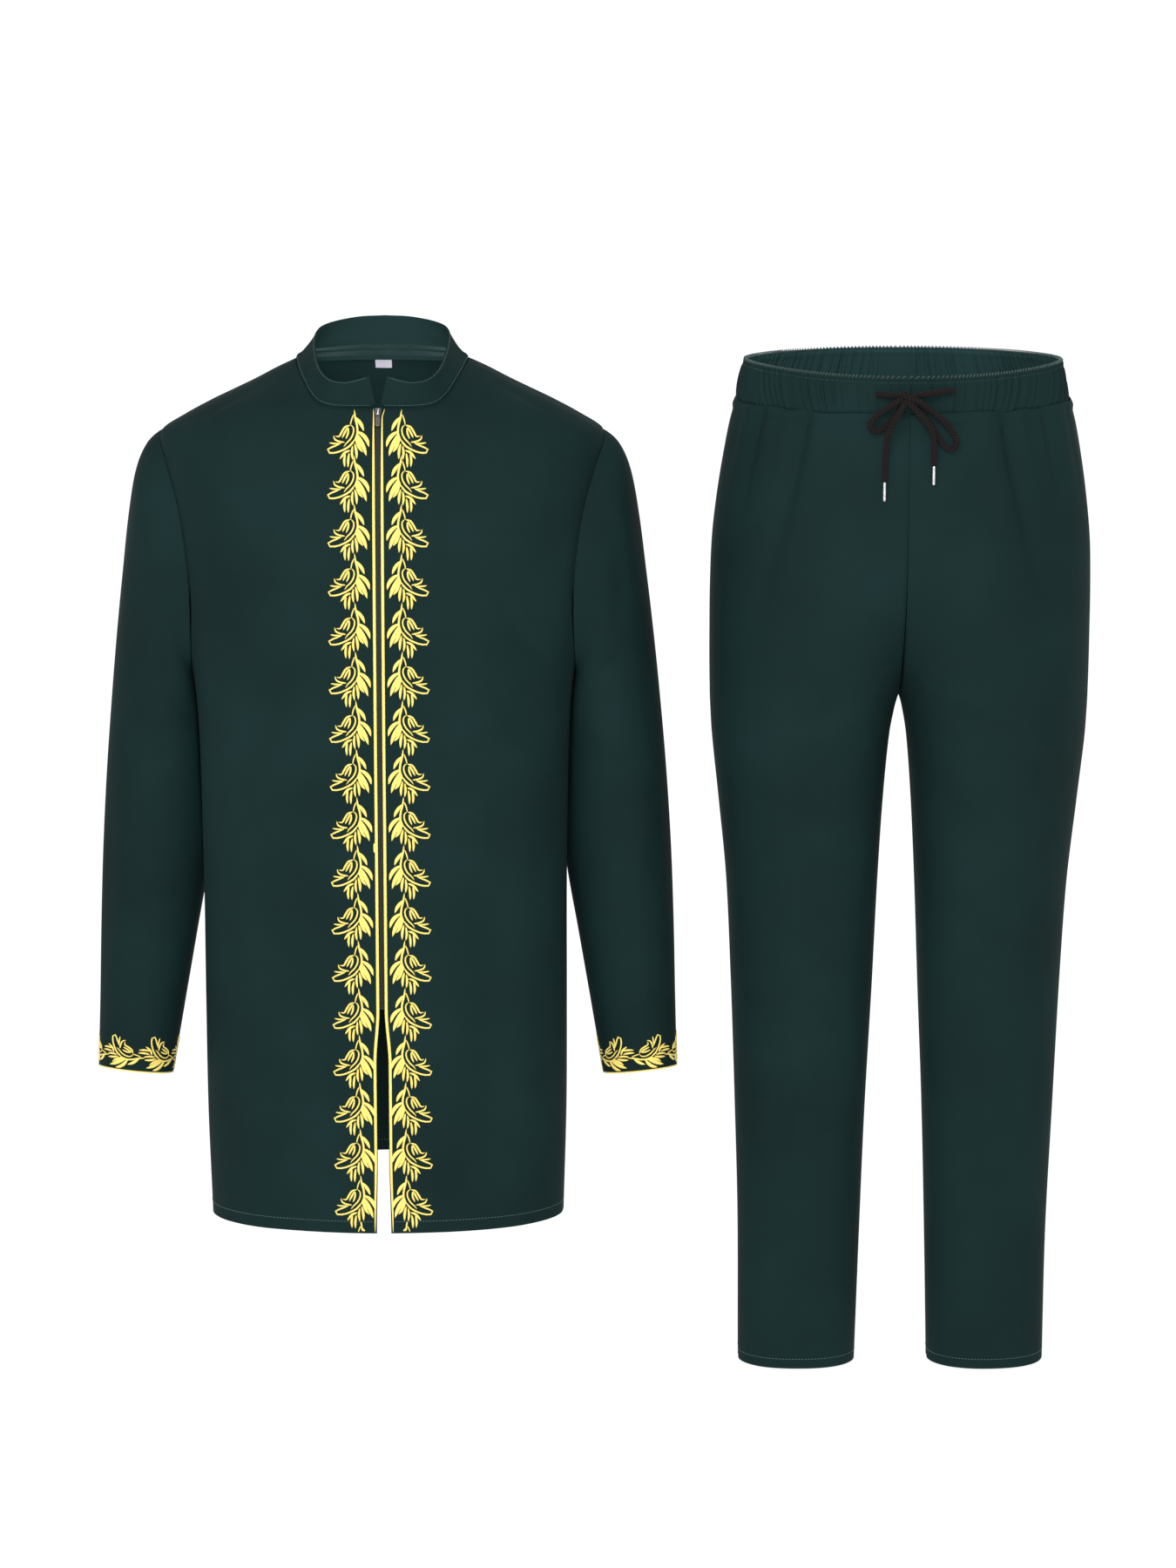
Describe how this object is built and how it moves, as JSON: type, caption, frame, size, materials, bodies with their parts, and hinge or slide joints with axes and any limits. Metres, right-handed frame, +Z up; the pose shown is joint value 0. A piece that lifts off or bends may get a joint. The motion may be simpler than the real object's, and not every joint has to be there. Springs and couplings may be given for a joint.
{
  "type": "kurta suit",
  "caption": "Long tunic with a stand collar, front zip and embroidered bands, set beside matching pull-on trousers with a gathered waist and tied drawstring.",
  "frame": {"origin": "midway between the kurta's two neck points, where the wearer's neck and shoulders hold it", "axes": "+Z up, -Y out of the front of both garments, +X to the wearer's left, from the kurta to the trousers"},
  "size_m": [0.9915, 0.2389, 1.056],
  "materials": {
    "cloth": "smooth bottle green crepe with a soft sheen",
    "thread": "golden yellow satin stitch",
    "tape": "dark woven zip tape and nylon coil",
    "cord": "black braided cotton cord",
    "label": "pale satin label",
    "metal": "bright nickel"
  },
  "bodies": {
    "garments": {"front_left": "cloth", "front_right": "cloth", "back": "cloth", "sleeve_left": "cloth", "sleeve_right": "cloth", "collar": "cloth", "size_label": "label", "zip_chain": "tape", "zip_tape_left": "tape", "zip_tape_right": "tape", "zip_slider": "metal", "trouser_front_left": "cloth", "trouser_front_right": "cloth", "trouser_back_left": "cloth", "trouser_back_right": "cloth", "waistband": "cloth", "cord_lead_left": "cord", "cord_lead_right": "cord", "cord_loop_left": "cord", "cord_loop_right": "cord", "cord_tail_left": "cord", "cord_tail_right": "cord", "cord_knot": "cord", "aglet_left": "metal", "aglet_right": "metal"},
    "pull_tab": {"zip_tab": "metal"}
  },
  "joints": [
    {"name": "tab_swing", "type": "hinge", "parent": "garments", "child": "pull_tab", "pos_m": [0, -0.09417, -0.04349], "axis": [-1, 0, 0], "range_deg": [0, 150]}
  ]
}
